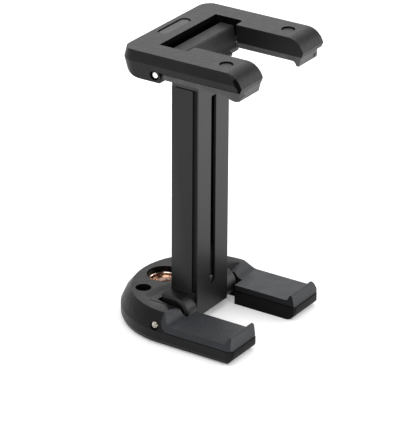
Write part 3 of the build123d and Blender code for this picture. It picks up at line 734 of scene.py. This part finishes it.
def lathe(
    name: str, outline: list[tuple[float, float]], centre: Vector, steps: int = 64, crease_degrees: float = 32.0
) -> bpy.types.Object:
    """A closed ring made by turning an outline about an upright axis.

    Args:
        name: the new piece's name.
        outline: radius and height of each corner, in millimetres, closed by itself.
        centre: the axis's foot, in metres.
        steps: how many steps the turn has.
        crease_degrees: the angle from which an edge is shaded sharp.

    Returns:
        The new piece.
    """
    shape = bmesh.new()
    rings = [
        [
            shape.verts.new(centre + Vector((cos(turn) * radius, sin(turn) * radius, height)) * MM)
            for radius, height in outline
        ]
        for turn in (2 * pi * step / steps for step in range(steps))
    ]
    count = len(outline)
    for step, ring in enumerate(rings):
        following = rings[(step + 1) % steps]
        for corner in range(count):
            after = (corner + 1) % count
            shape.faces.new((ring[corner], following[corner], following[after], ring[after]))
    bmesh.ops.recalc_face_normals(shape, faces=shape.faces)
    mesh = bpy.data.meshes.new(name)
    shape.to_mesh(mesh)
    shape.free()
    mesh.polygons.foreach_set("use_smooth", [True] * len(mesh.polygons))
    mesh.set_sharp_from_angle(angle=radians(crease_degrees))
    piece = bpy.data.objects.new(name, mesh)
    bpy.context.scene.collection.objects.link(piece)
    return piece


@dataclass
class Assembly:
    """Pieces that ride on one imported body."""

    nodes: dict[str, bpy.types.Object]
    body: str

    def eased(
        self, node: str, name: str, finish: Finish, slot: str, easing: Easing, reshape: Optional[Reshape] = None
    ) -> None:
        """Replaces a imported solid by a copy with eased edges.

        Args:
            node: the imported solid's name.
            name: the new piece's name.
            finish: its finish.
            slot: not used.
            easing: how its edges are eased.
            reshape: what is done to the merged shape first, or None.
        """
        piece = finish.on(easing.copy_of(self.nodes[node], name, reshape))
        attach(piece, self.body)
        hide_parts(node)
        log.info("%s: %d faces", name, len(piece.data.polygons))

    def added(self, piece: bpy.types.Object, slot: str, *replaced: str) -> None:
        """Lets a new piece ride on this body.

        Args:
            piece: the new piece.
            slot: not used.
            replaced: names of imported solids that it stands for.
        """
        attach(piece, self.body)
        if replaced:
            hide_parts(*replaced)
        log.info("%s: %d faces", piece.name, len(piece.data.polygons))


@dataclass
class Base(Assembly):
    """The forked base with the tripod thread."""

    body: str = "base"
    thread_major: float = 3.17
    thread_minor: float = 2.56
    thread_pitch: float = 1.27
    mouth: float = 0.5
    flange_rim: float = 1.2
    flange_height: float = 0.8
    ring_chamfer: float = 0.15
    foot_chamfer: float = 0.1
    dish_slope: float = 0.8
    dish_depths: tuple[float, float] = (0.1, 0.25)
    wall_lean: float = 0.1
    same_wall: float = 0.999
    # Painted shade on the arms' fronts and inner sides: how far back, how square to the face, and how dark.
    front_depth: float = 2.0
    front_facing: float = 0.8
    front_painted_shade: float = 0.5
    side_facing: float = 0.9
    side_painted_shade: float = 0.65
    housing_easing: Easing = Easing(0.16, 3)
    rubber_easing: Easing = Easing(0.2, 3)

    def build(self) -> None:
        """Makes and dresses every piece of the base."""
        plastic, rubber = Finish.BASE_PLASTIC, Finish.RUBBER
        self.eased("base_housing", "base_moulding", plastic, "black_plastic", self.housing_easing, self.shade_and_soften_housing)
        for side in ("left", "right"):
            cover = f"lower_rubber_{side}"
            self.eased(f"lower_grip_{side}", cover, rubber, "rubber", self.rubber_easing, self.paint_inner_side_shade)
        Finish.DULL_PIN.on(self.nodes["lower_hinge_pin"])
        self.cut_thread()

    def shade_and_soften_housing(self, shape: bmesh.types.BMesh) -> None:
        """Softens the dish and paints shade on the arms' fronts and inner sides.

        Args:
            shape: the housing, changed in place.
        """
        arms_end = min(vertex.co.y for vertex in shape.verts) + self.front_depth * MM

        def share_of(face: bmesh.types.BMFace) -> float:
            """The painted shade of an arm's front or inner side, and 0 elsewhere."""
            # Painted shade on the arm fronts next to the floor and on the sides facing the other arm.
            in_front = face.normal.y < -self.front_facing and face.calc_center_median().y < arms_end
            return self.front_painted_shade if in_front else self.painted_shade_inside(face)

        paint_shade_on_faces(shape, share_of)
        self.soften_dish(shape)

    def paint_inner_side_shade(self, shape: bmesh.types.BMesh) -> None:
        """Paints shade on a rubber cover's inner side, which faces the other arm.

        Args:
            shape: the cover, changed in place.
        """
        paint_shade_on_faces(shape, self.painted_shade_inside)

    def painted_shade_inside(self, face: bmesh.types.BMFace) -> float:
        """How much painted shade a face carries, if it faces the other arm.

        Args:
            face: the face.

        Returns:
            The inner side's painted shade, or 0.
        """
        inwards = -copysign(1.0, face.calc_center_median().x) * face.normal.x
        return self.side_painted_shade if inwards > self.side_facing else 0.0

    def soften_dish(self, shape: bmesh.types.BMesh) -> None:
        """Turns the upright step round the dish into a soft slope.

        Args:
            shape: the housing, changed in place.
        """
        top = max(vertex.co.z for vertex in shape.verts)
        shallow, deep = (depth * MM for depth in self.dish_depths)
        walls: dict[bmesh.types.BMVert, list[Vector]] = {}
        for face in shape.faces:
            depths = [top - vertex.co.z for vertex in face.verts]
            if abs(face.normal.z) > self.wall_lean or max(depths) > deep or max(depths) < shallow:
                continue
            for vertex, depth in zip(face.verts, depths):
                known = walls.setdefault(vertex, [])
                if depth > shallow and all(face.normal.dot(normal) < self.same_wall for normal in known):
                    known.append(face.normal.copy())
        for vertex, normals in walls.items():
            if normals:
                total = sum(normals, Vector())
                vertex.co += total / total.length_squared * len(normals) * self.dish_slope * MM

    def cut_thread(self) -> None:
        """Replaces the plain insert by one with a cut thread."""
        low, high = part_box("thread_insert")
        centre = Vector(((low.x + high.x) / 2, (low.y + high.y) / 2, low.z))
        top = (high.z - low.z) / MM
        flange = (high.x - low.x) / 2 / MM
        body = flange - self.flange_rim
        outline = [
            (self.thread_major + self.foot_chamfer, 0.0),
            (flange, 0.0),
            (flange, self.flange_height),
            (body, self.flange_height),
            (body, top - self.ring_chamfer),
            (body - self.ring_chamfer, top),
            (self.thread_major + self.ring_chamfer, top),
            (self.thread_major, top - self.ring_chamfer),
            (self.thread_major, self.foot_chamfer),
        ]
        ring = Finish.THREAD.on(lathe("insert_ring", outline, centre))
        self.added(ring, "thread_metal", "thread_insert")
        depth = self.thread_major - self.thread_minor
        length = top - 2 * self.mouth
        sizes = {
            "Turns": length / self.thread_pitch,
            "Radius": (self.thread_major - depth / 3) * MM,
            "Height": length * MM,
            "Wire": depth * 2 / 3 * MM,
        }
        start = centre + Vector((0, 0, self.mouth * MM))
        ridge = CoilTree("thread_ridge_tree", 3).wind("thread_ridge", sizes, Finish.THREAD, start)
        self.added(ridge, "thread_metal")


@dataclass
class Stem(Assembly):
    """The slotted stem with the return spring inside."""

    body: str = "stem"
    spring_wire: float = 0.36
    spring_turns: float = 88.0
    # The foot's level top below this height gets painted shade.
    foot_height: float = 12.0
    foot_facing: float = 0.9
    foot_painted_shade: float = 0.45
    easing: Easing = Easing(0.08, 2)

    def build(self) -> None:
        """Makes and dresses every piece of the stem."""
        self.eased("stem_body", "stem_channel", Finish.STEM_BLACK, "black_metal", self.easing, self.paint_foot_shade)
        self.eased("front_plate", "stem_face", Finish.STEM_SATIN, "satin_metal", self.easing)
        self.eased("stem_collar", "stem_guide", Finish.COLLAR_SATIN, "black_plastic", self.easing)
        Finish.STEEL.on(self.nodes["lower_spring_pin"])
        self.wind_spring()

    def paint_foot_shade(self, shape: bmesh.types.BMesh) -> None:
        """Paints shade on the foot's level top.

        Args:
            shape: the stem, changed in place.
        """
        below = self.foot_height * MM

        def share_of(face: bmesh.types.BMFace) -> float:
            """The foot's painted shade on its top, and 0 elsewhere."""
            on_top = face.normal.z > self.foot_facing and face.calc_center_median().z < below
            return self.foot_painted_shade if on_top else 0.0

        paint_shade_on_faces(shape, share_of)

    def wind_spring(self) -> None:
        """Replaces the stepped coil by a round wire one."""
        low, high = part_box("return_spring")
        centre = Vector(((low.x + high.x) / 2, (low.y + high.y) / 2, low.z + self.spring_wire / 2 * MM))
        sizes = {
            "Turns": self.spring_turns,
            "Radius": (high.x - low.x) / 2 - self.spring_wire / 2 * MM,
            "Height": high.z - low.z - self.spring_wire * MM,
            "Wire": self.spring_wire / 2 * MM,
        }
        coil = CoilTree("spring_tree", 6).wind("spring_coil", sizes, Finish.SPRING, centre)
        self.added(coil, "spring_steel", "return_spring")


@dataclass
class Slider(Assembly):
    """The bar that pulls out of the stem, with its hinge head."""

    body: str = "slider"
    cut_depth: float = 1.9
    slab_edge: float = 0.02
    end_reach: float = 0.5
    wider_ends: float = 0.45
    same_point: float = 0.12
    easing: Easing = Easing(0.12, 3, shortest_edge=0.06)

    def build(self) -> None:
        """Makes and dresses every piece of the slider."""
        self.eased("slider_head", "hinge_head", Finish.HEAD_PLASTIC, "black_plastic", self.easing, self.cut_back)
        Finish.BLACKENED.on(self.nodes["slider_bar"])
        Finish.SLIDE_PLASTIC.on(self.nodes["guide_shoe"])
        Finish.DULL_STEEL.on(self.nodes["guide_peg"])
        Finish.STEEL.on(self.nodes["upper_spring_pin"])

    def cut_back(self, shape: bmesh.types.BMesh) -> None:
        """Makes the head's back upright below its slab and fills the pocket's width, so no light comes through.

        Args:
            shape: the head, changed in place.
        """
        low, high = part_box("upper_hinge_pin")
        cut_from = (low.z + high.z) / 2 - self.cut_depth * MM
        top = max(vertex.co.z for vertex in shape.verts)
        end = max(vertex.co.x for vertex in shape.verts)
        back = max(vertex.co.y for vertex in shape.verts if vertex.co.z > top - self.slab_edge * MM)
        for vertex in shape.verts:
            if vertex.co.z > cut_from and vertex.co.y > back:
                vertex.co.y = back
            if abs(vertex.co.x) > end - self.end_reach * MM:
                vertex.co.x += copysign(self.wider_ends * MM, vertex.co.x)
        flat = [vertex for vertex in shape.verts if vertex.co.y == back]
        bmesh.ops.remove_doubles(shape, verts=flat, dist=self.same_point * MM)


@dataclass
class UpperJaw(Assembly):
    """The forked upper jaw with its rubber pads."""

    body: str = "upper_jaw"
    facet_slant: float = 0.4
    pocket_half: float = 10.6
    pocket_reach: float = 2.6
    pocket_facing: float = 0.3
    shell_easing: Easing = Easing(0.16, 3)
    rubber_easing: Easing = Easing(0.14, 3)
    plate_easing: Easing = Easing(0.05, 2)
    plate_margin: Margin = Margin(0.16)
    plug_margin: Margin = Margin(0.1)

    def build(self) -> None:
        """Makes and dresses every piece of the upper jaw."""
        plastic, plate, rubber = Finish.JAW_PLASTIC, Finish.PLATE_PLASTIC, Finish.RUBBER
        self.eased("upper_jaw_shell", "jaw_moulding", plastic, "black_plastic", self.shell_easing, self.paint_facet_shade)
        for side in ("left", "right"):
            plug = f"round_plug_{side}"
            self.eased(f"upper_grip_{side}", f"upper_rubber_{side}", Finish.PAD_RUBBER, "rubber", self.rubber_easing)
            self.eased(f"grip_plug_{side}", plug, rubber, "rubber", self.plate_easing, self.plug_margin)
        self.eased("bar_inlay", "oval_plate", plate, "inlay_metal", self.plate_easing, self.plate_margin)
        Finish.BRIGHT_PIN.on(self.nodes["upper_hinge_pin"])

    def paint_facet_shade(self, shape: bmesh.types.BMesh) -> None:
        """Paints black shade on the slanted facets at the arms' ends and the hinge pocket's walls.

        Args:
            shape: the shell, changed in place.
        """
        low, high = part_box("upper_hinge_pin")
        pocket_front = (low.y + high.y) / 2 - self.pocket_reach * MM

        def share_of(face: bmesh.types.BMFace) -> float:
            """One for a slanted facet or a wall of the pocket."""
            normal, centre = face.normal, face.calc_center_median()
            # Painted black shade on the arms' slanted end facets and on the pocket's walls.
            if min(abs(normal.x), -normal.y) > self.facet_slant:
                return 1.0
            in_pocket = abs(centre.x) < self.pocket_half * MM and centre.y > pocket_front
            return 1.0 if in_pocket and max(normal.y, normal.z) < self.pocket_facing else 0.0

        paint_shade_on_faces(shape, share_of)


# Studio


@dataclass(frozen=True)
class SoftLight:
    """One soft rectangular light that looks at the clamp."""

    name: str
    azimuth: float
    elevation: float
    distance: float
    size: float
    power: float

    def hang(self, target: Vector) -> None:
        """Hangs the light.

        Args:
            target: the point that it faces, in metres.
        """
        data = bpy.data.lights.new(self.name, "AREA")
        data.shape = "SQUARE"
        data.size = self.size
        data.energy = self.power
        lamp = bpy.data.objects.new(self.name, data)
        bpy.context.scene.collection.objects.link(lamp)
        away = outward(self.azimuth, self.elevation)
        lamp.location = target + away * self.distance
        lamp.rotation_euler = away.to_track_quat("Z", "Y").to_euler()


def outward(azimuth: float, elevation: float) -> Vector:
    """The direction from the clamp to an onlooker.

    Args:
        azimuth: degrees about the upright axis, 0 in front of the arms' ends.
        elevation: degrees above the floor.

    Returns:
        A vector of length 1.
    """
    turn, rise = radians(azimuth), radians(elevation)
    return Vector((sin(turn) * cos(rise), -cos(turn) * cos(rise), sin(rise)))


@dataclass(frozen=True)
class Viewpoint:
    """The camera of the photograph."""

    azimuth: float = -56.98
    elevation: float = 24.98
    roll: float = 0.432
    place: Point = (-0.4565, -0.307654, 0.276296)
    focal_length: float = 237.08
    sensor: float = 36.0
    far_end: float = 10.0

    def set_up(self) -> None:
        """Adds the camera and makes it the scene's."""
        data = bpy.data.cameras.new("photo_camera")
        data.lens = self.focal_length
        data.sensor_width = self.sensor
        data.clip_end = self.far_end
        camera = bpy.data.objects.new("photo_camera", data)
        bpy.context.scene.collection.objects.link(camera)
        back = outward(self.azimuth, self.elevation)
        right = Vector((cos(radians(self.azimuth)), sin(radians(self.azimuth)), 0.0))
        up = back.cross(right)
        lean = radians(self.roll)
        turned_right = right * cos(lean) + up * sin(lean)
        turned_up = up * cos(lean) - right * sin(lean)
        matrix = Matrix((turned_right, turned_up, back)).transposed().to_4x4()
        matrix.translation = Vector(self.place)
        camera.matrix_world = matrix
        bpy.context.scene.camera = camera


@dataclass
class Studio:
    """Floor, light and camera."""

    floor_size: float = 6.0
    sky: Colour = (1.0, 1.0, 1.0)
    sky_strength: float = 0.88
    lights: tuple[SoftLight, ...] = (
        SoftLight("backdrop", 123.0, 28.0, 1.5, 1.4, 6.5),
        SoftLight("overhead", -60.0, 80.0, 0.9, 0.9, 3.5),
        SoftLight("front_right", 45.0, 16.0, 1.0, 0.7, 4.2),
    )

    def set_up(self) -> None:
        """Lays the floor, hangs the lights and sets the camera."""
        half = self.floor_size / 2
        mesh = bpy.data.meshes.new("studio_floor")
        mesh.from_pydata([(-half, -half, 0), (half, -half, 0), (half, half, 0), (-half, half, 0)], [], [(0, 1, 2, 3)])
        floor = bpy.data.objects.new("studio_floor", mesh)
        bpy.context.scene.collection.objects.link(floor)
        Finish.FLOOR.on(floor)
        floor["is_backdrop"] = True
        world = bpy.data.worlds.new("studio_sky")
        world.use_nodes = True
        background = world.node_tree.nodes["Background"]
        background.inputs["Color"].default_value = (*self.sky, 1.0)
        background.inputs["Strength"].default_value = self.sky_strength
        bpy.context.scene.world = world
        bpy.context.scene.view_settings.view_transform = "Standard"
        low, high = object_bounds()
        for light in self.lights:
            light.hang((Vector(low) + Vector(high)) / 2)
        Viewpoint().set_up()


def main() -> None:
    """Builds the sub-assemblies and the studio."""
    logging.basicConfig(level=logging.INFO, format="%(message)s")
    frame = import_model()
    nodes = frame["nodes"]
    for assembly in (Base(nodes), Stem(nodes), Slider(nodes), UpperJaw(nodes)):
        assembly.build()
    Studio().set_up()


if __name__ == "__main__":
    main()
